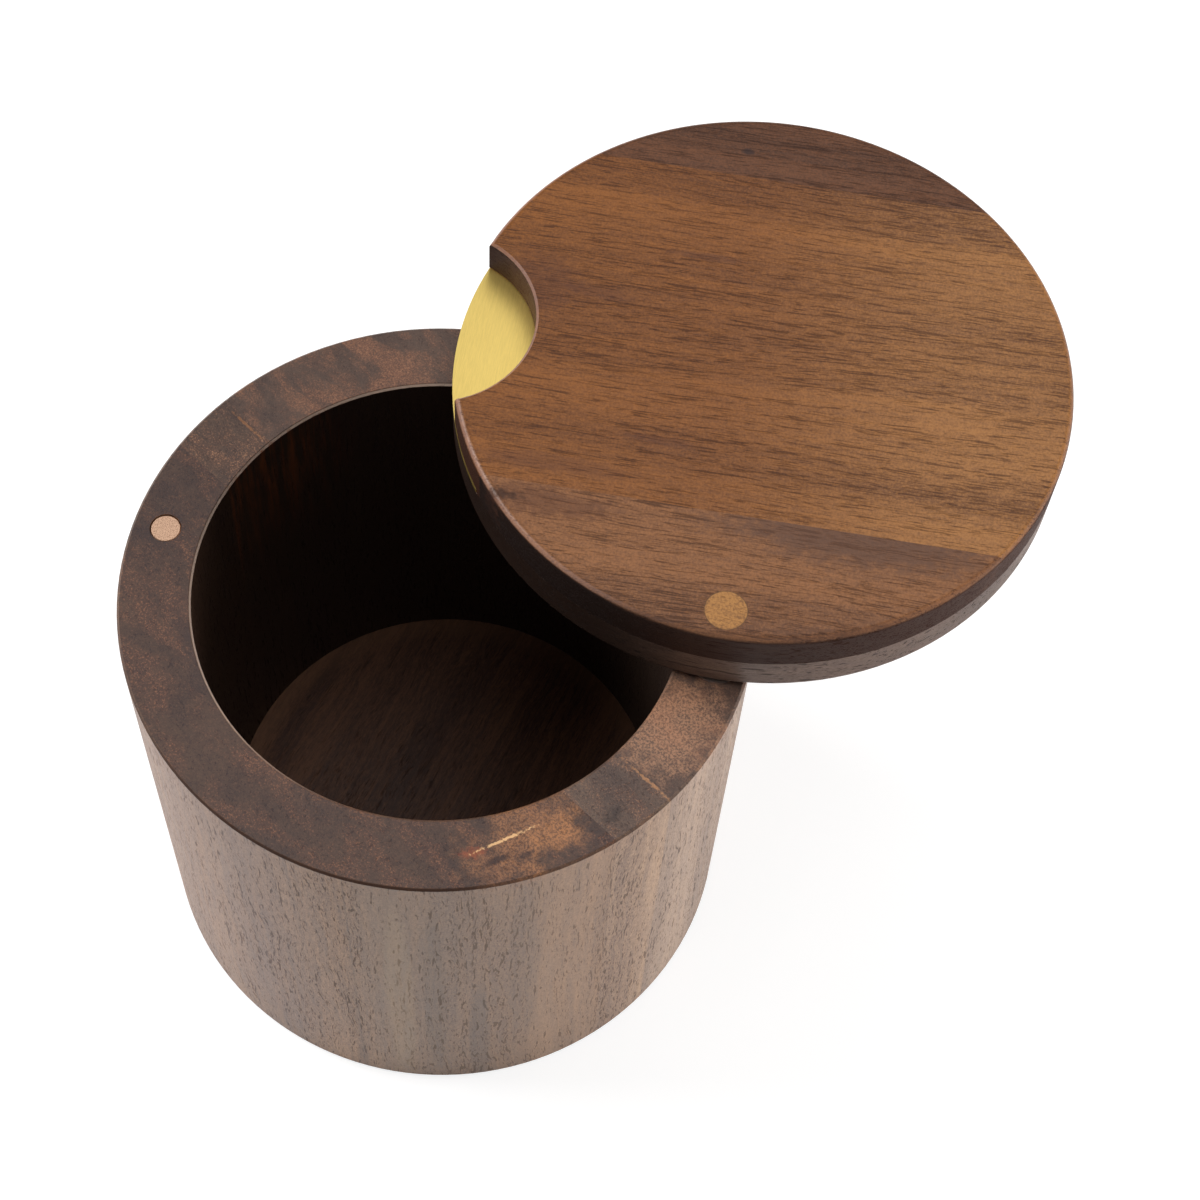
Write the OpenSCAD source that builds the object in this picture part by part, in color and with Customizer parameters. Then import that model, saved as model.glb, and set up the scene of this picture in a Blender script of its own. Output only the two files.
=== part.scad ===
// Round wooden salt box with a two-layer lid that swivels sideways on a vertical pivot.
// The origin is the centre of the base face and +Z is up.
// The pivot stands on +X, the rim magnet on -X, and the closed lid's finger notch faces -Y.

/* [Body] */
// Outside diameter of the box body
body_d = 100; // [80:1:130]
// Height of the body from the table to the rim
body_h = 88.5; // [45:0.5:150]
// Thickness of the wall around the straight bore that holds the salt
wall_t = 11.4; // [11:0.1:16]
// Direction of the glue lines across the body, in degrees from +X
glue_angle = -30.3; // [-60:0.1:-20]
// Width of the narrow strip glued between the two large body boards
strip_w = 10.7; // [4:0.1:16]
// Chamfer where the bore meets the rim
bore_chamfer = 0.4; // [0.2:0.1:0.8]
// Chamfer around the outside of the rim
rim_chamfer = 0.4; // [0.2:0.1:0.8]
// Chamfer around the foot of the body
foot_chamfer = 0.6; // [0.3:0.1:2]

/* [Floor] */
// Thickness of the floor disc
floor_t = 6.3; // [4:0.1:12]
// Width of the rebate that the floor disc is glued into
rebate_w = 4.4; // [2:0.1:6]
// Radial clearance around the floor disc, taken up by glue
floor_clear = 0.05; // [0.05:0.05:0.3]

/* [Lid] */
// How far the edge of the lid stays inside the outside of the body
lid_inset = 0.7; // [0:0.1:2]
// Thickness of the lower lid layer
base_layer_t = 7.6; // [6:0.1:12]
// Thickness of the upper lid layer
top_layer_t = 7.4; // [6.5:0.1:12]
// Radius of the rounded upper edge
top_edge_r = 1.2; // [0.4:0.1:2.5]
// Radius of the rounded lower edge
under_edge_r = 1.5; // [0.4:0.1:2.5]
// Glue line between the left and middle boards, to the left of the lid's centre
left_seam = 36.4; // [30:0.1:40]
// Glue line between the middle and right boards, to the right of the lid's centre
right_seam = 28; // [27.5:0.1:32]
// How far the lid stands open, in degrees from closed
open_angle = 85.5; // [0:0.5:180]

/* [Finger notch] */
// Radius of the arc cut through the upper layer
notch_r = 16.4; // [12:0.1:18]
// How far the notch reaches in from the edge of the lid
notch_depth = 12.5; // [9:0.1:13]
// Chamfer along the upper edge of the notch
notch_chamfer = 0.4; // [0.2:0.1:0.8]
// Thickness of the brass plate under the notch
plate_t = 0.8; // [0.5:0.1:1.2]
// Width of the plate that is held between the layers behind the notch
plate_hold = 12.9; // [6:0.1:13]
// Depth of the plate's bed in the lower layer
bed_depth = 0.4; // [0.2:0.1:0.5]
// Slit between the plate and the upper layer
plate_gap = 0.35; // [0.1:0.05:0.6]
// Clearance around the hidden edge of the plate
plate_clear = 0.4; // [0.2:0.1:0.6]

/* [Pivot] */
// Distance from the outside of the body in to the centre of the pivot and of the magnets
pivot_inset = 5.3; // [5:0.1:6]
// Diameter of the smooth shoulder that the lid turns on
shoulder_d = 4; // [3.6:0.1:4.4]
// Radial running clearance between the shoulder and the lid
run_clear = 0.05; // [0.03:0.01:0.1]
// Axial play of the lid against each washer
axial_play = 0.05; // [0.02:0.01:0.15]
// Outside diameter of the screw's thread
thread_d = 3.6; // [3:0.1:3.6]
// Pitch of the screw's thread
thread_pitch = 1.5; // [1:0.1:2]
// Number of thread turns in the body
thread_turns = 10; // [6:1:14]
// Diameter of the screw head
head_d = 5.8; // [5.4:0.1:6]
// Height of the screw head
head_h = 2.2; // [1.5:0.1:2.4]
// Diameter of the counterbore and of the wooden plug that closes it
plug_d = 6.7; // [6.7:0.1:7.5]
// Length of the wooden plug
plug_l = 4; // [2:0.1:4]
// Outside diameter of the washer on the rim
rim_washer_d = 9; // [7:0.1:10]
// Thickness of the washer on the rim
rim_washer_t = 0.4; // [0.3:0.05:0.8]
// Thickness of the washer under the screw head
head_washer_t = 0.5; // [0.3:0.05:0.6]

/* [Magnets] */
// Diameter of both magnets
magnet_d = 4.9; // [4:0.1:6]
// Thickness of both magnets
magnet_t = 3; // [2:0.1:4]
// Radial clearance around each magnet, taken up by glue
magnet_clear = 0.05; // [0.05:0.05:0.2]
// Chamfer around the magnet faces
magnet_chamfer = 0.2; // [0.1:0.05:0.4]
// How far each magnet sits below the wood around it
magnet_recess = 0.15; // [0.05:0.05:0.3]

/* [Hidden] */
$fn = 96;
// Overlap that carries a cut past the surface it opens
over = 1;
body_r = body_d / 2;
bore_r = body_r - wall_t;
rebate_r = bore_r + rebate_w;
pivot_r = body_r - pivot_inset;
lid_r = body_r - lid_inset;
lid_t = base_layer_t + top_layer_t;
lid_z = body_h + rim_washer_t + axial_play;
notch_y = -(lid_r + notch_r - notch_depth);
plate_r = notch_r + plate_hold;
plate_z = base_layer_t - bed_depth;
relief_top = plate_z + plate_t + plate_gap;
washer_bore_r = shoulder_d / 2 + 0.15;
head_washer_r = plug_d / 2 - 0.3;
head_z = base_layer_t + head_washer_t + axial_play;
screw_seat = body_h - lid_z;
magnet_hole_r = magnet_d / 2 + magnet_clear;
magnet_hole_depth = magnet_t + magnet_recess;
board_reach = body_d;

wood_body = [0.36, 0.25, 0.19];
wood_strip = [0.42, 0.3, 0.22];
wood_lid = [0.49, 0.33, 0.2];
wood_dark = [0.38, 0.25, 0.17];
brass = [0.85, 0.7, 0.35];
steel = [0.7, 0.7, 0.72];
copper = [0.78, 0.6, 0.48];

// Places a piece drawn on the closed lid where the open lid holds it.
module on_lid() {
    translate([pivot_r, 0, lid_z])
        rotate([0, 0, -open_angle])
            translate([-pivot_r, 0, 0])
                children();
}

// Moves a piece to the pivot axis.
module at_pivot() {
    translate([pivot_r, 0, 0])
        children();
}

// Moves a piece to the magnets' place opposite the pivot.
module at_magnet() {
    translate([-pivot_r, 0, 0])
        children();
}

// Bored body before it is divided into boards, with the rebate for the floor.
module body_ring() {
    rotate_extrude()
        polygon([
            [rebate_r, 0],
            [body_r - foot_chamfer, 0],
            [body_r, foot_chamfer],
            [body_r, body_h - rim_chamfer],
            [body_r - rim_chamfer, body_h],
            [bore_r + bore_chamfer, body_h],
            [bore_r, body_h - bore_chamfer],
            [bore_r, floor_t],
            [rebate_r, floor_t]
        ]);
}

// Slab that keeps the part of the body between two glue lines.
// The bounds are distances from the first glue line, which runs through the axis.
module slab(low, high, left = true, right = true) {
    rotate([0, 0, glue_angle])
        translate([left ? -board_reach : 0, low, -over])
            cube([(left ? board_reach : 0) + (right ? board_reach : 0), high - low, body_h + 2 * over]);
}

// Hole for the threaded end of the pivot screw.
module screw_hole() {
    at_pivot()
        translate([0, 0, body_h - thread_turns * thread_pitch - thread_d / 2])
            cylinder(h = thread_turns * thread_pitch + thread_d / 2 + over, d = thread_d);
}

// Blind hole for the magnet in the rim.
module rim_magnet_hole() {
    at_magnet()
        translate([0, 0, body_h - magnet_hole_depth])
            cylinder(h = magnet_hole_depth + over, r = magnet_hole_r);
}

// Chamfered disc magnet standing on z = 0.
module magnet() {
    rotate_extrude()
        polygon([
            [0, 0],
            [magnet_d / 2 - magnet_chamfer, 0],
            [magnet_d / 2, magnet_chamfer],
            [magnet_d / 2, magnet_t - magnet_chamfer],
            [magnet_d / 2 - magnet_chamfer, magnet_t],
            [0, magnet_t]
        ]);
}

// Flat ring standing on z = 0.
module washer(outer_r, inner_r, thickness) {
    rotate_extrude()
        translate([inner_r, 0])
            square([outer_r - inner_r, thickness]);
}

module body_board_back() {
    color(wood_body)
        difference() {
            intersection() {
                body_ring();
                slab(0, board_reach);
            }
            screw_hole();
        }
}

module body_board_front() {
    color(wood_body)
        difference() {
            intersection() {
                body_ring();
                slab(-board_reach, -strip_w);
            }
            rim_magnet_hole();
        }
}

module body_strip_left() {
    color(wood_strip)
        intersection() {
            body_ring();
            slab(-strip_w, 0, right = false);
        }
}

module body_strip_right() {
    color(wood_strip)
        intersection() {
            body_ring();
            slab(-strip_w, 0, left = false);
        }
}

module floor_disc() {
    color(wood_body)
        cylinder(h = floor_t, r = rebate_r - floor_clear);
}

module rim_magnet() {
    color(copper)
        at_magnet()
            translate([0, 0, body_h - magnet_hole_depth])
                magnet();
}

// Half outline of the screw's threaded end, from the tip up to the shoulder.
function thread_outline() = concat(
    [[0, -thread_turns * thread_pitch - thread_d / 2], [thread_d / 2 - 0.5, -thread_turns * thread_pitch]],
    [for (turn = [thread_turns:-1:1], step = [0, 1])
        step == 0
            ? [thread_d / 2, -turn * thread_pitch + thread_pitch / 2]
            : [thread_d / 2 - 0.5, -(turn - 1) * thread_pitch]]
);

module pivot_screw() {
    color(steel)
        at_pivot()
            translate([0, 0, body_h])
                difference() {
                    rotate_extrude()
                        polygon(concat(thread_outline(), [
                            [shoulder_d / 2, 0],
                            [shoulder_d / 2, head_z - screw_seat],
                            [head_d / 2, head_z - screw_seat],
                            [head_d / 2, head_z - screw_seat + head_h - 0.5],
                            [head_d / 2 - 0.5, head_z - screw_seat + head_h],
                            [0, head_z - screw_seat + head_h]
                        ]));
                    for (turn = [0, 90])
                        rotate([0, 0, turn])
                            translate([-head_d * 0.3, -0.4, head_z - screw_seat + head_h - 1.1])
                                cube([head_d * 0.6, 0.8, 1.1 + over]);
                }
}

module rim_washer() {
    color(steel)
        at_pivot()
            translate([0, 0, body_h])
                washer(rim_washer_d / 2, washer_bore_r, rim_washer_t);
}

// Upper layer of the lid before it is divided into boards.
module top_layer() {
    difference() {
        rotate_extrude() {
            translate([0, base_layer_t])
                square([lid_r, top_layer_t - top_edge_r]);
            translate([0, base_layer_t])
                square([lid_r - top_edge_r, top_layer_t]);
            intersection() {
                translate([lid_r - top_edge_r, lid_t - top_edge_r])
                    circle(r = top_edge_r);
                translate([0, base_layer_t])
                    square([lid_r, top_layer_t]);
            }
        }
        notch_cut();
        plate_pocket();
        at_pivot()
            translate([0, 0, base_layer_t - over])
                cylinder(h = top_layer_t + 2 * over, d = plug_d);
    }
}

// Finger notch through the upper layer, with its chamfered upper edge.
module notch_cut() {
    translate([0, notch_y, 0]) {
        translate([0, 0, base_layer_t - over])
            cylinder(h = top_layer_t + 2 * over, r = notch_r);
        translate([0, 0, lid_t - notch_chamfer])
            cylinder(h = notch_chamfer + over, r1 = notch_r, r2 = notch_r + notch_chamfer + over);
    }
}

// Shallow pocket for the brass plate, shared by both layers.
module plate_pocket() {
    translate([0, notch_y, plate_z])
        cylinder(h = relief_top - plate_z, r = plate_r + plate_clear);
}

// One board of the upper layer, kept between two distances from the lid's centre.
module top_board(low, high) {
    intersection() {
        top_layer();
        translate([low, -board_reach, 0])
            cube([high - low, 2 * board_reach, lid_t + over]);
    }
}

module lid_top_left() {
    color(wood_dark)
        on_lid()
            top_board(-board_reach, -left_seam);
}

module lid_top_middle() {
    color(wood_lid)
        on_lid()
            top_board(-left_seam, right_seam);
}

module lid_top_right() {
    color(wood_lid)
        on_lid()
            top_board(right_seam, board_reach);
}

module lid_base() {
    color(wood_dark)
        on_lid()
            difference() {
                rotate_extrude() {
                    translate([0, under_edge_r])
                        square([lid_r, base_layer_t - under_edge_r]);
                    square([lid_r - under_edge_r, base_layer_t]);
                    intersection() {
                        translate([lid_r - under_edge_r, under_edge_r])
                            circle(r = under_edge_r);
                        square([lid_r, base_layer_t]);
                    }
                }
                plate_pocket();
                at_pivot()
                    translate([0, 0, -over])
                        cylinder(h = base_layer_t + 2 * over, r = shoulder_d / 2 + run_clear);
                at_magnet()
                    translate([0, 0, -over])
                        cylinder(h = magnet_hole_depth + over, r = magnet_hole_r);
            }
}

module brass_plate() {
    color(brass)
        on_lid()
            intersection() {
                translate([0, 0, plate_z])
                    cylinder(h = plate_t, r = lid_r);
                translate([0, notch_y, plate_z - over])
                    cylinder(h = plate_t + 2 * over, r = plate_r);
            }
}

module head_washer() {
    color(steel)
        on_lid()
            at_pivot()
                translate([0, 0, base_layer_t])
                    washer(head_washer_r, washer_bore_r, head_washer_t);
}

module pivot_plug() {
    color(wood_lid)
        on_lid()
            at_pivot()
                translate([0, 0, lid_t - plug_l])
                    cylinder(h = plug_l, d = plug_d);
}

module lid_magnet() {
    color(copper)
        on_lid()
            at_magnet()
                translate([0, 0, magnet_recess])
                    magnet();
}

body_board_back();
body_board_front();
body_strip_left();
body_strip_right();
floor_disc();
rim_magnet();
pivot_screw();
rim_washer();
lid_base();
lid_top_left();
lid_top_middle();
lid_top_right();
brass_plate();
head_washer();
pivot_plug();
lid_magnet();
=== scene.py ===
"""Looks of the round wooden salt box: woods, brass, magnets, light, floor and camera."""

import math

import bpy
from mathutils import Matrix, Vector


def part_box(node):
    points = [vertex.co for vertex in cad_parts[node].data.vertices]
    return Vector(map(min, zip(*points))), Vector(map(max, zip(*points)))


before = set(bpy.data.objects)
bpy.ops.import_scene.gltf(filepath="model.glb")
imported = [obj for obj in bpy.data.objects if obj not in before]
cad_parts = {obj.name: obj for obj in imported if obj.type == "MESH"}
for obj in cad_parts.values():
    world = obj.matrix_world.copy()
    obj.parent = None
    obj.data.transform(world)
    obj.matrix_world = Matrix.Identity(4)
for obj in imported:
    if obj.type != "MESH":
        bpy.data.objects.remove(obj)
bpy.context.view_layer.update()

MM = 0.001
RIM_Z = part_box("body_board_back")[1].z
PIVOT_X = sum(corner.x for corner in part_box("rim_washer")) / 2
OPEN_ANGLE = math.radians(85.5)
GLUE_ANGLE = math.radians(-30.3)
# The body in millimetres.
BORE_R = 38.6
BODY_R = 50.0
BODY_H = 88.5
# The middle of a noise's range, and the part of a vector across the grain.
MIDDLE = (0.5, 0.5, 0.5)
ACROSS = (1, 1, 0)


def srgb(red, green, blue):
    """A colour given as it shows on screen, 0 to 255, in the shader's linear values."""
    linear = [
        c / 12.92 if c <= 0.04045 else ((c + 0.055) / 1.055) ** 2.4
        for c in (red / 255, green / 255, blue / 255)
    ]
    return (*linear, 1.0)


class Graph:
    """Short calls for building one material's nodes."""

    def __init__(self, name):
        self.material = bpy.data.materials.new(name)
        self.material.use_nodes = True
        self.nodes = self.material.node_tree.nodes
        self.links = self.material.node_tree.links
        self.nodes.clear()
        self.output = self.nodes.new("ShaderNodeOutputMaterial")

    def feed(self, socket, value):
        """Links a socket to another one, or sets its value."""
        if isinstance(value, bpy.types.NodeSocket):
            self.links.new(value, socket)
        else:
            socket.default_value = value

    def node(self, kind, settings=None, **inputs):
        """Any node, with its settings and with its inputs named with underscores for spaces."""
        made = self.nodes.new(kind)
        for key, value in (settings or {}).items():
            setattr(made, key, value)
        for key, value in inputs.items():
            self.feed(made.inputs[key.replace("_", " ")], value)
        return made

    def math(self, operation, a, b=0.0, c=0.0, clamp=False):
        """One sum on up to three values."""
        made = self.nodes.new("ShaderNodeMath")
        made.operation = operation
        made.use_clamp = clamp
        for socket, value in zip(made.inputs, (a, b, c)):
            self.feed(socket, value)
        return made.outputs[0]

    def times(self, *factors):
        """The product of several values."""
        product = factors[0]
        for factor in factors[1:]:
            product = self.math("MULTIPLY", product, factor)
        return product

    def vector(self, operation, a, b=(0.0, 0.0, 0.0)):
        """One sum on two vectors, or the length of one."""
        made = self.nodes.new("ShaderNodeVectorMath")
        made.operation = operation
        self.feed(made.inputs[0], a)
        self.feed(made.inputs[1], b)
        return made.outputs["Value" if operation in ("DOT_PRODUCT", "LENGTH") else "Vector"]

    def smooth(self, value, low, high):
        """0 below low and 1 above high, with a soft step between; the other way round if low is higher."""
        made = self.nodes.new("ShaderNodeMapRange")
        made.interpolation_type = "SMOOTHSTEP"
        self.feed(made.inputs["Value"], value)
        rising = low < high
        made.inputs["From Min"].default_value = low if rising else high
        made.inputs["From Max"].default_value = high if rising else low
        made.inputs["To Min"].default_value = 0.0 if rising else 1.0
        made.inputs["To Max"].default_value = 1.0 if rising else 0.0
        return made.outputs["Result"]

    def mix(self, factor, a, b, blend="MIX"):
        """Colour a with colour b laid over it by the factor."""
        made = self.nodes.new("ShaderNodeMix")
        made.data_type = "RGBA"
        made.blend_type = blend
        for key, value in (("Factor_Float", factor), ("A_Color", a), ("B_Color", b)):
            self.feed(next(s for s in made.inputs if s.identifier == key), value)
        return next(s for s in made.outputs if s.identifier == "Result_Color")

    def noise(self, vector, scale, detail=3.0, roughness=0.55, distortion=0.0):
        """Smooth 3-D noise; scale is in waves per millimetre."""
        made = self.nodes.new("ShaderNodeTexNoise")
        for key, value in (("Vector", vector), ("Scale", scale), ("Detail", detail),
                           ("Roughness", roughness), ("Distortion", distortion)):
            self.feed(made.inputs[key], value)
        return made

    def split(self, vector):
        """The three parts of a vector."""
        made = self.nodes.new("ShaderNodeSeparateXYZ")
        self.feed(made.inputs[0], vector)
        return made.outputs

    def placed(self, matrix):
        """The object's own coordinates, taken through a matrix into another frame in millimetres."""
        coordinates = self.node("ShaderNodeTexCoord")
        made = self.nodes.new("ShaderNodeMapping")
        made.vector_type = "POINT"
        self.links.new(coordinates.outputs["Object"], made.inputs["Vector"])
        made.inputs["Location"].default_value = matrix.to_translation()
        made.inputs["Rotation"].default_value = matrix.to_euler()
        made.inputs["Scale"].default_value = (1 / MM, 1 / MM, 1 / MM)
        return made.outputs["Vector"]

    def facing(self, axis):
        """How far the surface faces along an axis of the object, 0 to 1 either way."""
        coordinates = self.node("ShaderNodeTexCoord")
        return self.math("ABSOLUTE", self.vector("DOT_PRODUCT", coordinates.outputs["Normal"], axis))

    def upright(self):
        """1 on the object's upright sides and 0 on its flat faces."""
        return self.smooth(self.facing(UP), 0.6, 0.2)

    def radius(self, place):
        """Distance from the board frame's Z axis."""
        return self.vector("LENGTH", self.vector("MULTIPLY", place, ACROSS))


UP = (0.0, 0.0, 1.0)
# The body's boards: millimetres, grain along Z, glue lines along X.
BODY_FRAME = Matrix.Rotation(-GLUE_ANGLE, 4, "Z")
# The lid as it lies when closed, centred on the lid.
LID_CLOSED = (
    Matrix.Translation((PIVOT_X / MM, 0, 0))
    @ Matrix.Rotation(OPEN_ANGLE, 4, "Z")
    @ Matrix.Translation((-PIVOT_X / MM, 0, 0))
)
# The same with the grain, which runs towards the notch, turned to Z; the lid's top then faces -Y.
LID_GRAIN = Matrix.Rotation(math.radians(90), 4, "X") @ LID_CLOSED
LID_GRAIN_AXIS = Matrix.Rotation(-OPEN_ANGLE, 3, "Z") @ Vector((0, 1, 0))
LID_TOP_Y = -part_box("lid_top_middle")[1].z / MM


def wood(name, to_board, grain_axis, light, dark, pores, pith, ring=5.0, seed=0.0, line=0.15,
         band=0.5, fibre=0.35, wander=1.0, mottle=0.3, rough=0.45, specular=0.3,
         pore_size=(0.5, 8.0), pore_share=0.5, pore_depth=0.7,
         end_colour=None, end_mix=0.4, side_shade_colour=None, side_shade_mix=0.0, bore_colour=None, marks=None):
    """Solid wood: rings about a pith, fibres and pores along the grain, darker end grain.

    to_board takes the row frame to millimetres with the grain along Z. seed tells boards apart.
    pith is where the rings are centred, and ring how far apart they are.
    line, band, fibre and mottle are the strengths of the rings' dark lines, the broad bands, the fibres
    and the fine grit, and wander is how far the grain strays sideways.
    pore_size is the width and length of the field that one pore sits in, in millimetres, pore_share
    how many there are and pore_depth how dark they get.
    end_colour, the side colour and bore_colour go over the end grain, the upright sides and the bore; the
    side colour is a painted shade.
    marks is a function that paints the board's own marks over the colour.
    """
    g = Graph(name)
    place = g.placed(to_board)
    shifted = g.vector("ADD", place, (seed, seed * 0.7, seed * 1.3))

    # Slow waves of the grain, then the distance from the pith that makes the rings.
    slow = g.noise(g.vector("MULTIPLY", shifted, (1, 1, 0.16)), 0.035, 2.0)
    sway = g.vector("MULTIPLY", g.vector("SUBTRACT", slow.outputs["Color"], MIDDLE), (9, 9, 0))
    curl = g.noise(g.vector("MULTIPLY", shifted, (1, 1, 0.45)), 0.16, 2.0)
    stray = 2.4 * wander
    curl = g.vector("MULTIPLY", g.vector("SUBTRACT", curl.outputs["Color"], MIDDLE), (stray, stray, 0))
    grown = g.vector("ADD", g.vector("ADD", shifted, sway), curl)
    wavy = g.vector("ADD", g.vector("ADD", place, sway), curl)
    rings = g.math("DIVIDE", g.radius(g.vector("SUBTRACT", wavy, (*pith, 0.0))), ring)
    phase = g.math("FRACT", rings)
    year = g.node("ShaderNodeTexWhiteNoise", {"noise_dimensions": "1D"}, W=g.math("FLOOR", rings))
    late = g.times(g.math("POWER", phase, 2.2), g.smooth(year.outputs["Value"], 0.1, 0.9))

    # Tone: broad bands, ring by ring changes, streaks and single fibres.
    bands = g.noise(g.vector("MULTIPLY", grown, (1, 1, 0.05)), 0.09, 3.0).outputs["Fac"]
    streaks = g.noise(g.vector("MULTIPLY", grown, (1, 1, 0.04)), 0.9, 4.0, 0.6).outputs["Fac"]
    fibres = g.noise(g.vector("MULTIPLY", grown, (1, 1, 0.16)), 3.6, 3.0, 0.7).outputs["Fac"]
    tone = g.math("MULTIPLY_ADD", g.smooth(bands, 0.32, 0.68), band, 0.5 - band / 2)
    tone = g.math("MULTIPLY_ADD", g.math("SUBTRACT", streaks, 0.5), fibre * 3.0, tone)
    tone = g.math("MULTIPLY_ADD", g.math("SUBTRACT", fibres, 0.5), fibre * 3.6, tone)
    grit = g.noise(place, 2.6, 2.0, 0.7).outputs["Fac"]
    tone = g.math("MULTIPLY_ADD", g.math("SUBTRACT", grit, 0.5), mottle * 3.0, tone)
    tone = g.math("MULTIPLY_ADD", late, -line, tone, clamp=True)
    colour = g.mix(tone, dark, light)

    # Open pores in two sizes, in rows along the grain and closer together in the darker bands.
    across, along = pore_size
    rows = g.noise(g.vector("MULTIPLY", grown, (1, 1, 0.03)), 1.1, 1.0).outputs["Fac"]
    crowd = g.math("MULTIPLY_ADD", g.math("SUBTRACT", bands, 0.5), 0.16, 0.71 - pore_share * 0.14)
    crowd = g.math("MULTIPLY_ADD", g.math("SUBTRACT", rows, 0.5), -0.3, crowd)
    pore = 0.0
    for scale, depth in ((1.0, 1.0), (0.55, 0.7)):
        step = (1 / (across * scale), 1 / (across * scale), 1 / (along * scale))
        field = g.noise(g.vector("MULTIPLY", grown, step), 1.0, 1.0, 0.5).outputs["Fac"]
        open_pore = g.smooth(g.math("SUBTRACT", field, crowd), 0.0, 0.06)
        pore = g.math("MAXIMUM", pore, g.times(open_pore, depth))
    colour = g.mix(g.times(pore, pore_depth), colour, pores)

    # End grain, sides darkened as painted shade, and bore, then the board's own marks.
    end = g.times(g.smooth(g.facing(grain_axis), 0.3, 0.85), end_mix)
    colour = g.mix(end, colour, end_colour or pores)
    upright = g.upright()
    if side_shade_mix:
        colour = g.mix(g.times(upright, side_shade_mix), colour, side_shade_colour or pores)
    if bore_colour:
        bore = g.times(upright, g.smooth(g.radius(place), BORE_R + 0.5, BORE_R + 0.2), 0.92)
        colour = g.mix(bore, colour, bore_colour)
    if marks:
        colour = marks(g, place, colour)

    # Pores are sunk, and the wood is duller in them and on the sides painted with shade.
    height = g.math("MULTIPLY_ADD", pore, -1.0, g.times(fibres, 0.35))
    bump = g.node("ShaderNodeBump", Height=height, Strength=0.5, Distance=0.00008)
    shine = g.math("MULTIPLY_ADD", streaks, 0.16, rough - 0.08)
    shine = g.math("MULTIPLY_ADD", pore, 0.25, shine)
    shine = g.math("MULTIPLY_ADD", upright, side_shade_mix * 0.35, shine, clamp=True)
    shader = g.node("ShaderNodeBsdfPrincipled", Base_Color=colour, Roughness=shine,
                    Normal=bump.outputs["Normal"], Specular_IOR_Level=specular)
    g.links.new(shader.outputs[0], g.output.inputs["Surface"])
    return g.material


def spot(g, place, centre, size, turn=0.0, soft=0.6, ragged=0.35, grain=0.7, grit=0.0):
    """A soft oval patch in board millimetres: 1 inside, 0 outside. turn is in degrees about Z.

    ragged and grain break up its edge, and grit breaks up the whole patch into fine dots.
    """
    local = g.vector("SUBTRACT", place, centre)
    made = g.nodes.new("ShaderNodeMapping")
    made.vector_type = "POINT"
    g.links.new(local, made.inputs["Vector"])
    made.inputs["Rotation"].default_value = (0, 0, math.radians(-turn))
    unit = g.vector("DIVIDE", made.outputs["Vector"], size)
    edge = g.noise(place, grain, 3.0).outputs["Fac"]
    reach = g.math("MULTIPLY_ADD", g.math("SUBTRACT", edge, 0.5), ragged * 2, g.vector("LENGTH", unit))
    patch = g.smooth(reach, 1.0, 1.0 - soft)
    if grit:
        dots = g.smooth(g.noise(place, 2.6, 2.0, 0.7).outputs["Fac"], 0.4, 0.6)
        patch = g.times(patch, g.math("MULTIPLY_ADD", dots, grit, 1.0 - grit))
    return patch


def stain(g, place, colour, spots, **shape):
    """Mixes paints over the colour, each inside a spot given as paint, amount, centre and size."""
    for paint, amount, centre, size in spots:
        colour = g.mix(g.times(spot(g, place, centre, size, **shape), amount), colour, paint)
    return colour


def rim_figure(g, place, colour, paint, fleck, amount, seed):
    """Soft clouds and fine flecks of the end grain, a painted highlight along the inner edge and a darker
    outer edge, on the rim only.
    """
    on_rim = g.smooth(g.split(place)[2], RIM_Z / MM - 0.6, RIM_Z / MM - 0.3)
    swirl = g.vector("ADD", g.vector("MULTIPLY", place, (0.55, 1, 1)), (seed, seed, 0))
    apart = g.vector("ADD", swirl, (50, 0, 0))
    cloud = g.smooth(g.noise(swirl, 0.16, 4.0, 0.6, 0.8).outputs["Fac"], 0.42, 0.66)
    shadow = g.smooth(g.noise(apart, 0.12, 3.0, 0.55, 0.8).outputs["Fac"], 0.5, 0.68)
    grit = g.noise(place, 3.6, 2.0, 0.7).outputs["Fac"]
    colour = g.mix(g.times(shadow, on_rim, 0.35), colour, srgb(46, 36, 38))
    shade = g.times(cloud, g.smooth(grit, 0.2, 0.62))
    colour = g.mix(g.times(shade, on_rim, amount), colour, paint)
    dots = g.times(g.smooth(grit, 0.5, 0.74), g.math("MULTIPLY_ADD", cloud, 0.45, 0.12))
    colour = g.mix(g.times(dots, on_rim), colour, fleck)

    # The inner edge is paler on the left, a painted highlight, and the outer edge is darker at the front.
    radius = g.radius(place)
    x = g.split(place)[0]
    inner_edge_highlight = g.times(g.smooth(radius, BORE_R + 0.35, BORE_R + 0.2), g.smooth(x, 20, -20))
    outer = g.times(g.smooth(radius, BODY_R - 0.4, BODY_R - 0.25), g.smooth(x, -30, 0), g.smooth(x, 45, 36))
    colour = g.mix(g.times(inner_edge_highlight, on_rim, 0.6), colour, srgb(214, 188, 170))
    return g.mix(g.times(outer, on_rim, 0.85), colour, srgb(50, 27, 16))


def bore_streaks_and_light(g, place, colour):
    """Orange-brown streaks on the left of the bore, brightest near the rim and fading downwards: streaks of
    the wood with painted light over them.
    """
    x, y, z = g.split(place)[:3]
    inside = g.smooth(g.radius(place), BORE_R + 0.3, BORE_R + 0.1)
    high = g.times(inside, g.smooth(x, -18, -34), g.smooth(y, 18, 2), g.smooth(z, 50, 86))
    streak = g.noise(g.vector("MULTIPLY", place, (1, 1, 0.07)), 0.7, 4.0, 0.75).outputs["Fac"]
    return g.mix(g.times(high, g.smooth(streak, 0.42, 0.72)), colour, srgb(136, 78, 46))


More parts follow.
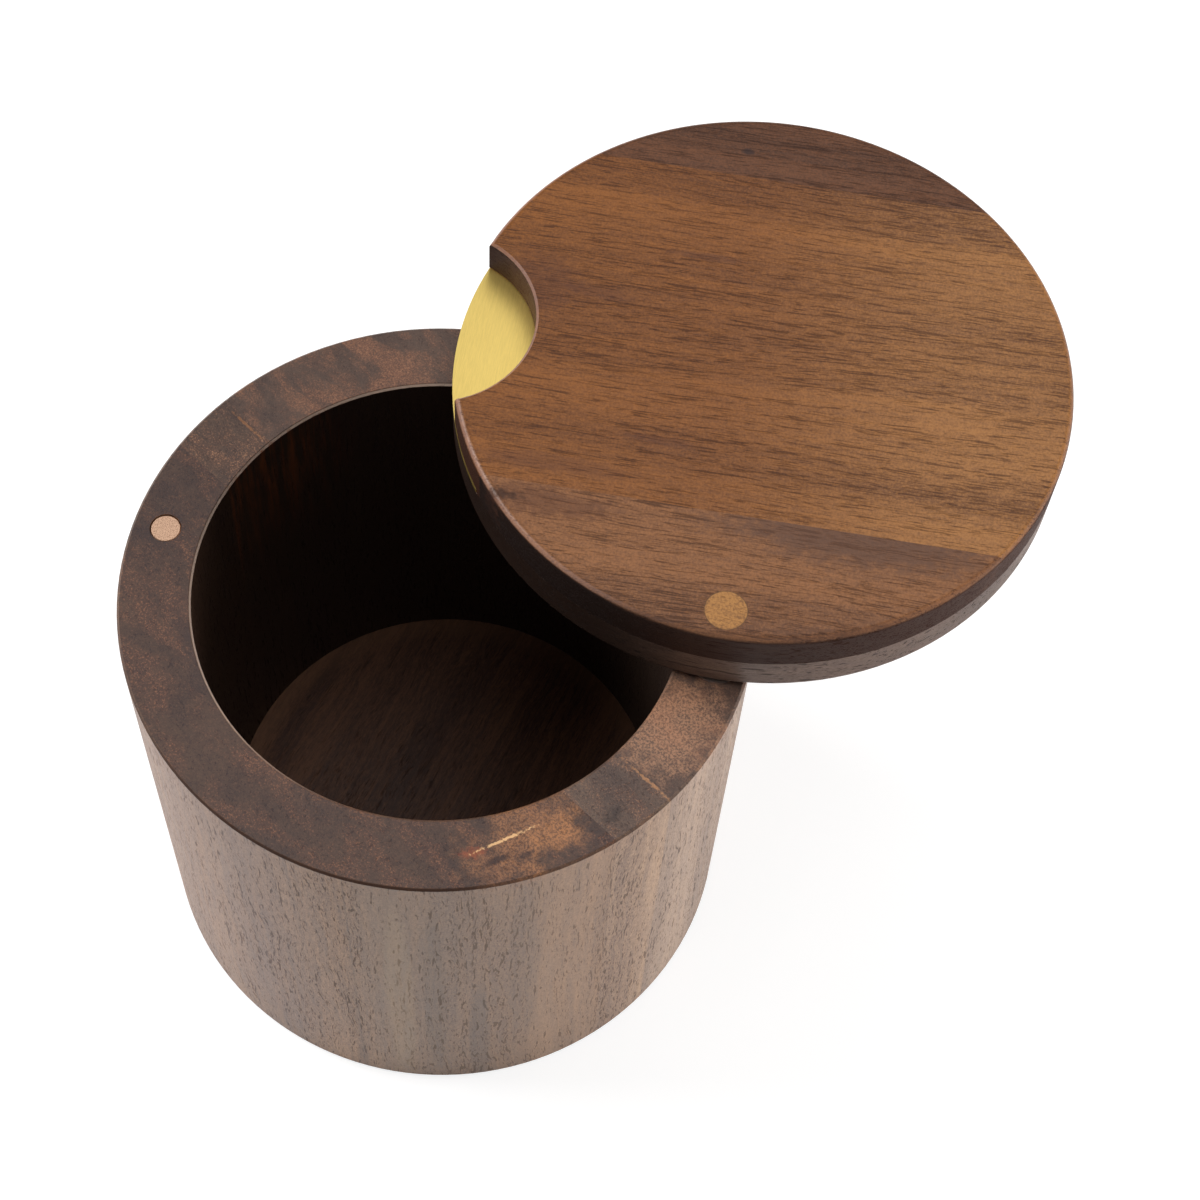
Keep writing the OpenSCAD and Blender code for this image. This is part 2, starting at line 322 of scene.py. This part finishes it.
def painted_shade_notch_end(g, place, colour):
    """Painted shade: the lid's upright sides turn dark towards the notch end."""
    end = g.times(g.upright(), g.smooth(g.split(place)[2], 2, -20), 0.9)
    return g.mix(end, colour, srgb(26, 13, 8))


def painted_edge_highlight(g, place, colour):
    """Painted highlight: the round-over of the lid's top edge is paler, most of all at the notch end."""
    slope = g.facing(UP)
    edge = g.times(g.smooth(slope, 0.4, 0.62), g.smooth(slope, 0.96, 0.84))
    near = g.math("MULTIPLY_ADD", g.smooth(g.split(place)[2], -8, -24), 0.16, 0.06)
    return g.mix(g.times(edge, near), colour, srgb(214, 172, 156))


def metal(name, colour, rough, brushed=None, speckle=None):
    """Bare metal with fine brushing, or speckled plating.

    brushed is how the brushing noise is stretched along the axes of the closed lid.
    """
    g = Graph(name)
    place = g.placed(LID_CLOSED if brushed else Matrix.Identity(4))
    stretch = brushed or (1, 1, 1)
    lines = g.noise(g.vector("MULTIPLY", place, stretch), 9.0, 4.0, 0.7).outputs["Fac"]
    cloud = g.noise(place, 0.12, 3.0).outputs["Fac"]
    shade = g.mix(g.smooth(lines, 0.3, 0.7), tuple(c * 0.86 for c in colour[:3]) + (1,), colour)
    if speckle:
        dots = g.noise(place, 5.5, 2.0, 0.7).outputs["Fac"]
        shade = g.mix(g.smooth(dots, 0.45, 0.62), shade, speckle)
    height = g.math("MULTIPLY_ADD", cloud, 0.4, lines)
    bump = g.node("ShaderNodeBump", Height=height, Strength=0.12, Distance=0.00003)
    shine = g.math("MULTIPLY_ADD", cloud, 0.14, rough - 0.07)
    shine = g.math("MULTIPLY_ADD", lines, 0.1, shine, clamp=True)
    shader = g.node("ShaderNodeBsdfPrincipled", Base_Color=shade, Roughness=shine, Metallic=1.0,
                    Normal=bump.outputs["Normal"])
    g.links.new(shader.outputs[0], g.output.inputs["Surface"])
    return g.material


# The floor disc lies with its grain across the box.
FLOOR_TURN = math.radians(12)
FLAT_GRAIN = Matrix.Rotation(math.radians(90), 4, "X") @ Matrix.Rotation(FLOOR_TURN, 4, "Z")
FLAT_AXIS = Matrix.Rotation(-FLOOR_TURN, 3, "Z") @ Vector((0, 1, 0))

MAGNET = {"colour": srgb(208, 172, 145), "rough": 0.38, "speckle": srgb(152, 118, 98)}
BODY_WOOD = {
    "line": 0.1, "band": 0.45, "fibre": 0.45, "wander": 0.8, "mottle": 0.5, "rough": 0.42, "specular": 0.33,
    "pore_size": (0.4, 3.0), "pore_share": 0.6, "pore_depth": 0.6, "bore_colour": srgb(42, 28, 23),
}
# The lid boards' upright sides get a dark colour that is painted shade.
LID_WOOD = {
    "fibre": 0.3, "wander": 0.15, "mottle": 0.6, "rough": 0.33, "specular": 0.22,
    "pore_size": (0.26, 6.0), "pore_share": 0.8, "pore_depth": 0.56,
    "end_mix": 0.2, "side_shade_colour": srgb(44, 20, 11), "side_shade_mix": 0.92,
}


def front_marks(g, place, colour):
    """Reddish rim with a torn orange patch at its right, a painted sheen on the left of the side, and bands
    and a fine line down the side.
    """
    x = g.split(place)[0]
    outside = g.times(g.smooth(g.radius(place), BODY_R - 0.6, BODY_R - 0.4), g.upright())
    # Painted sheen: the outer face turns cooler and paler towards its left end; it is also greyer towards
    # its right end.
    colour = g.mix(g.times(g.smooth(x, 24, 8), outside, 0.3), colour, srgb(140, 124, 124))
    colour = g.mix(g.times(g.smooth(x, 22, 30), outside, 0.4), colour, srgb(138, 118, 102))
    colour = stain(g, place, colour, (
        (srgb(108, 91, 79), 0.38, (34.8, -36, 40), (1.9, 3, 48)),
        (srgb(190, 160, 126), 0.3, (30.5, -39.8, 40), (2.6, 4, 48)),
        (srgb(96, 86, 82), 0.4, (39.6, -30.6, 18), (1.6, 3, 34)),
        (srgb(112, 98, 90), 0.25, (43.6, -24.6, 50), (2.2, 4, 44)),
    ), soft=0.4, ragged=0.3)
    fine_line = g.smooth(g.math("ABSOLUTE", g.math("SUBTRACT", x, 24.2)), 0.2, 0.05)
    colour = g.mix(g.times(fine_line, 0.3), colour, srgb(84, 70, 62))

    # The rim: orange patches, dark hollows, a red spot and the pale torn streak.
    colour = rim_figure(g, place, colour, srgb(100, 67, 55), srgb(162, 112, 80), 0.4, 4.0)
    colour = stain(g, place, colour, (
        (srgb(172, 118, 80), 0.6, (38.5, -20, BODY_H), (9, 15, 4)),
        (srgb(184, 126, 80), 0.5, (41, -17, BODY_H), (4.5, 7, 4)),
    ), grit=0.7, ragged=1.0, soft=0.9, grain=0.3)
    colour = stain(g, place, colour, (
        (srgb(46, 32, 32), 0.85, (38.3, -25.6, BODY_H), (2.8, 0.8, 1.5)),
        (srgb(54, 38, 36), 0.7, (40.8, -21.7, BODY_H), (1.9, 0.55, 1.5)),
    ), turn=70, grain=1.6)
    colour = stain(g, place, colour, (
        (srgb(160, 78, 48), 0.45, (35.0, -27.2, BODY_H), (2.6, 1.2, 2)),
    ), turn=50, ragged=1.0, soft=0.9, grain=1.4)
    return stain(g, place, colour, (
        (srgb(236, 188, 134), 0.8, (36.8, -22.4, BODY_H), (5.6, 0.3, 1.0)),
    ), turn=70, ragged=1.3, grain=2.0)


def back_marks(g, place, colour):
    """Tan clouds and flecks over the rim, more of them towards its right end."""
    colour = rim_figure(g, place, colour, srgb(132, 90, 68), srgb(172, 122, 92), 0.7, 11.0)
    colour = stain(g, place, colour, (
        (srgb(184, 136, 104), 0.6, (42, 9, BODY_H), (10, 12, 3)),
    ), ragged=0.6, grit=0.8, grain=0.5)
    return bore_streaks_and_light(g, place, colour)


def strip_marks(g, place, colour):
    """Orange flecks along the glue line, and the small knot of the right-hand piece."""
    colour = rim_figure(g, place, colour, srgb(112, 78, 62), srgb(196, 144, 108), 0.5, 23.0)
    colour = stain(g, place, colour, (
        (srgb(186, 122, 70), 0.3, (-43.8, -0.6, BODY_H), (4.8, 0.3, 1.0)),
    ), ragged=1.0, grain=1.2)
    colour = stain(g, place, colour, (
        (srgb(204, 146, 96), 0.4, (45.6, -0.35, BODY_H), (4.6, 0.3, 1.0)),
    ), ragged=1.6, grain=1.6)
    colour = stain(g, place, colour, (
        (srgb(44, 34, 32), 0.65, (45.6, -8.0, BODY_H), (1.5, 2.6, 1.5)),
    ), ragged=0.9, soft=0.9, grain=1.2)
    return bore_streaks_and_light(g, place, colour)


def lid_left_marks(g, place, colour):
    """A painted highlight along the top edge, and a small dark knot."""
    knot = (srgb(44, 28, 26), 0.8, (-41.5, LID_TOP_Y, -8.1), (0.9, 9, 1.3))
    return stain(g, place, painted_edge_highlight(g, place, colour), (knot,))


def lid_middle_marks(g, place, colour):
    """The top of the middle board turns lighter away from the notch and has darker streaks near it, and its
    top edge carries a painted highlight.
    """
    rising = g.times(g.smooth(g.split(place)[2], -10, 38), g.smooth(g.facing(UP), 0.5, 0.8))
    colour = g.mix(rising, colour, (1.45, 1.75, 2.15, 1), "MULTIPLY")
    streak = srgb(80, 48, 36)
    colour = stain(g, place, colour, (
        (streak, 0.4, (-9, LID_TOP_Y, -38), (8, 30, 9)),
        (streak, 0.4, (-8.8, LID_TOP_Y, -28), (1.5, 30, 8)),
        (streak, 0.4, (-19, LID_TOP_Y, -12), (0.9, 30, 8)),
        (streak, 0.45, (17, LID_TOP_Y, -14), (1.2, 30, 8)),
        (streak, 0.35, (24, LID_TOP_Y, -30), (2.2, 30, 16)),
    ), ragged=0.5)
    return painted_edge_highlight(g, place, colour)


def lid_right_marks(g, place, colour):
    """Painted shade on the sides at the notch end, a painted highlight on the top edge, a grey-brown cloud
    beside the glue line and the dark knot at the lid's edge.
    """
    colour = painted_edge_highlight(g, place, painted_shade_notch_end(g, place, colour))
    colour = stain(g, place, colour, (
        (srgb(86, 60, 48), 0.72, (28.5, LID_TOP_Y, 18), (7.4, 30, 27)),
    ), ragged=0.5)
    colour = stain(g, place, colour, (
        (srgb(80, 48, 34), 0.5, (31, LID_TOP_Y, -30), (3.4, 9, 13)),
    ), ragged=0.8)
    return stain(g, place, colour, (
        (srgb(42, 22, 15), 0.75, (30.8, LID_TOP_Y, -36.4), (1.3, 9, 4.6)),
    ), ragged=0.8, soft=0.9, grain=0.9)


def plug_marks(g, place, colour):
    """A thin dark ring where the plug meets its hole."""
    centre = LID_GRAIN @ Vector((PIVOT_X / MM, 0, 0))
    away = g.vector("MULTIPLY", g.vector("SUBTRACT", place, centre), (1, 0, 1))
    ring = g.smooth(g.vector("LENGTH", away), 3.1, 3.3)
    return g.mix(g.times(ring, 0.75), colour, srgb(60, 38, 28))


def floor_marks(g, place, colour):
    """The floor disc is paler towards its edge."""
    radius = g.vector("LENGTH", g.vector("MULTIPLY", place, (1, 0, 1)))
    return g.mix(g.times(g.smooth(radius, 33.5, 38.0), 0.34), colour, srgb(150, 108, 78))


looks = {
    "body_board_back": wood(
        "body_back_wood", BODY_FRAME, UP, srgb(172, 145, 124), srgb(121, 99, 86), srgb(60, 54, 56),
        pith=(18, 96), seed=31, end_colour=srgb(58, 42, 38), end_mix=0.86,
        marks=back_marks, **BODY_WOOD),
    "body_board_front": wood(
        "body_front_wood", BODY_FRAME, UP, srgb(186, 144, 110), srgb(121, 89, 69), srgb(58, 50, 52),
        pith=(-12, -120), seed=7, end_colour=srgb(42, 32, 34), end_mix=0.88,
        marks=front_marks, **BODY_WOOD),
    "body_strip_left": wood(
        "strip_left_wood", BODY_FRAME, UP, srgb(170, 139, 114), srgb(118, 92, 76), srgb(56, 46, 44),
        pith=(20, 60), seed=53, end_colour=srgb(50, 36, 34), end_mix=0.86,
        marks=strip_marks, **BODY_WOOD),
    "body_strip_right": wood(
        "strip_right_wood", BODY_FRAME, UP, srgb(178, 146, 119), srgb(120, 94, 78), srgb(58, 51, 53),
        pith=(30, 70), seed=71, end_colour=srgb(60, 48, 46), end_mix=0.8,
        marks=strip_marks, **BODY_WOOD),
    "floor_disc": wood(
        "floor_wood", FLAT_GRAIN, FLAT_AXIS, srgb(118, 80, 58), srgb(76, 50, 40), srgb(34, 22, 17),
        pith=(10, 60), seed=17, line=0.3, fibre=0.6, pore_size=(0.35, 4.0), pore_depth=0.35,
        marks=floor_marks),
    "lid_base": wood(
        "lid_base_wood", LID_GRAIN, LID_GRAIN_AXIS, srgb(144, 117, 102), srgb(102, 80, 69),
        srgb(30, 21, 17),
        pith=(10, -70), seed=91, end_mix=0.5, specular=0.25, marks=painted_shade_notch_end),
    "lid_top_left": wood(
        "lid_left_wood", LID_GRAIN, LID_GRAIN_AXIS, srgb(104, 66, 43), srgb(68, 42, 29), srgb(32, 18, 14),
        pith=(-60, 80), seed=3, marks=lid_left_marks, **LID_WOOD),
    "lid_top_middle": wood(
        "lid_middle_wood", LID_GRAIN, LID_GRAIN_AXIS, srgb(136, 85, 43), srgb(93, 55, 29), srgb(40, 21, 18),
        pith=(0, 160), seed=12, line=0.1, marks=lid_middle_marks, **LID_WOOD),
    "lid_top_right": wood(
        "lid_right_wood", LID_GRAIN, LID_GRAIN_AXIS, srgb(142, 95, 60), srgb(98, 64, 43), srgb(42, 24, 19),
        pith=(52, 40), ring=4.5, seed=44, line=0.35, marks=lid_right_marks, **LID_WOOD),
    "pivot_plug": wood(
        "plug_wood", LID_GRAIN, LID_GRAIN_AXIS, srgb(170, 120, 66), srgb(124, 84, 48), srgb(92, 56, 34),
        pith=(30, 20), ring=2.4, seed=66, pore_share=0.3, pore_size=(0.4, 3.0), fibre=0.5, mottle=1.0,
        end_mix=0.1, marks=plug_marks),
    "brass_plate": metal("satin_brass", srgb(222, 194, 112), 0.34, brushed=(0.05, 1, 1)),
    "rim_magnet": metal("plated_magnet", **MAGNET),
    "lid_magnet": metal("plated_magnet_lid", **MAGNET),
    "pivot_screw": metal("zinc_screw", srgb(190, 190, 192), 0.32),
    "rim_washer": metal("rim_washer_steel", srgb(200, 200, 200), 0.3),
    "head_washer": metal("head_washer_steel", srgb(200, 200, 200), 0.3),
}
for node_name, look in looks.items():
    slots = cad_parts[node_name].data.materials
    slots.clear()
    slots.append(look)

# Floor: a wide pale sheet that the camera sees as white, whiter still far off, with a soft shadow kept.
SHEET_SIZE = 6.0
# Keeps the sheet just off the underside, which would flicker through it.
SHEET_DROP = 0.00005
SEEN_GLOW = 0.76
FAR_GLOW = 1.0
MIRRORED_GLOW = 0.32
# Millimetres from the box over which the glow rises.
GLOW_RISES = (250, 900)
bpy.ops.mesh.primitive_plane_add(size=SHEET_SIZE, location=(0, 0, -SHEET_DROP))
floor = bpy.context.object
floor.name = "studio_floor"
g = Graph("pale_floor")
rays = g.node("ShaderNodeLightPath")
by_camera = rays.outputs["Is Camera Ray"]
place = g.placed(Matrix.Identity(4))
far = g.smooth(g.vector("LENGTH", place), *GLOW_RISES)
shown = g.times(by_camera, g.math("MULTIPLY_ADD", far, FAR_GLOW - SEEN_GLOW, SEEN_GLOW))
strength = g.math("MULTIPLY_ADD", rays.outputs["Is Glossy Ray"], MIRRORED_GLOW, shown)
paper = g.noise(place, 0.5, 3.0).outputs["Fac"]
sheet_colour = g.mix(paper, srgb(228, 228, 228), srgb(232, 232, 232))
sheet_colour = g.mix(by_camera, sheet_colour, srgb(168, 168, 168))
sheet = g.node("ShaderNodeBsdfDiffuse", Color=sheet_colour)
glow = g.node("ShaderNodeEmission", Color=(1, 1, 1, 1), Strength=strength)
both = g.node("ShaderNodeAddShader")
g.links.new(sheet.outputs[0], both.inputs[0])
g.links.new(glow.outputs[0], both.inputs[1])
g.links.new(both.outputs[0], g.output.inputs["Surface"])
floor.data.materials.append(g.material)

# World: white to the camera, pale in reflections, and a low even light on the object.
AMBIENT = 0.06
REFLECTED = 0.35
world = bpy.data.worlds.new("studio_world")
bpy.context.scene.world = world
world.use_nodes = True
tree = world.node_tree
tree.nodes.clear()
rays = tree.nodes.new("ShaderNodeLightPath")
glossy = tree.nodes.new("ShaderNodeMapRange")
glossy.inputs["To Min"].default_value = AMBIENT
glossy.inputs["To Max"].default_value = REFLECTED
level = tree.nodes.new("ShaderNodeMapRange")
level.inputs["To Max"].default_value = 1.0
sky = tree.nodes.new("ShaderNodeBackground")
sky.inputs["Color"].default_value = (1, 1, 1, 1)
end = tree.nodes.new("ShaderNodeOutputWorld")
tree.links.new(rays.outputs["Is Glossy Ray"], glossy.inputs["Value"])
tree.links.new(glossy.outputs["Result"], level.inputs["To Min"])
tree.links.new(rays.outputs["Is Camera Ray"], level.inputs["Value"])
tree.links.new(level.outputs["Result"], sky.inputs["Strength"])
tree.links.new(sky.outputs[0], end.inputs["Surface"])


LAMPS_AIM_AT = Vector((0.02, 0.02, 0.06))
LAMP_DISTANCE = 0.9


def softbox(name, azimuth, elevation, size, power, mirrored=True):
    """A soft lamp aimed at the object. Azimuth 0 is in front, on -Y, and 90 on +X.

    mirrored is False for a low lamp that would glare on the lid when seen from across it.
    """
    a, e = math.radians(azimuth), math.radians(elevation)
    away = Vector((math.sin(a) * math.cos(e), -math.cos(a) * math.cos(e), math.sin(e)))
    lamp = bpy.data.lights.new(name, "AREA")
    lamp.shape = "RECTANGLE"
    lamp.size, lamp.size_y = size
    lamp.energy = power
    holder = bpy.data.objects.new(name, lamp)
    bpy.context.scene.collection.objects.link(holder)
    holder.location = LAMPS_AIM_AT + away * LAMP_DISTANCE
    holder.rotation_euler = away.to_track_quat("Z", "Y").to_euler()
    holder.visible_glossy = mirrored


softbox("left_softbox", -92, 38, (0.5, 0.5), 8.2)
softbox("right_softbox", 100, 12, (0.6, 0.3), 9.2, mirrored=False)
softbox("back_softbox", 165, 60, (0.6, 0.5), 1.5)
softbox("top_softbox", 90, 86, (0.5, 0.5), 1.4)

# Camera: where the photographer stood, from the circles of the rim, floor and lid.
CAMERA_AT = Vector((55.18, -179.64, 434.76)) * MM
CAMERA_LOOKS_AT = Vector((24.68, 5.09, BODY_H)) * MM
CAMERA_ROLL = math.radians(4.87)
SENSOR_WIDTH = 36.0
FOCAL_LENGTH = 75.41
NEAREST, FARTHEST = 0.01, 20.0
lens = bpy.data.cameras.new("camera")
lens.sensor_width = SENSOR_WIDTH
lens.lens = FOCAL_LENGTH
lens.clip_start = NEAREST
lens.clip_end = FARTHEST
camera = bpy.data.objects.new("camera", lens)
bpy.context.scene.collection.objects.link(camera)
camera.location = CAMERA_AT
aim = (CAMERA_LOOKS_AT - CAMERA_AT).to_track_quat("-Z", "Y").to_matrix()
camera.rotation_euler = (aim @ Matrix.Rotation(CAMERA_ROLL, 3, "Z")).to_euler()
bpy.context.scene.camera = camera

bpy.context.scene.view_settings.view_transform = "Standard"
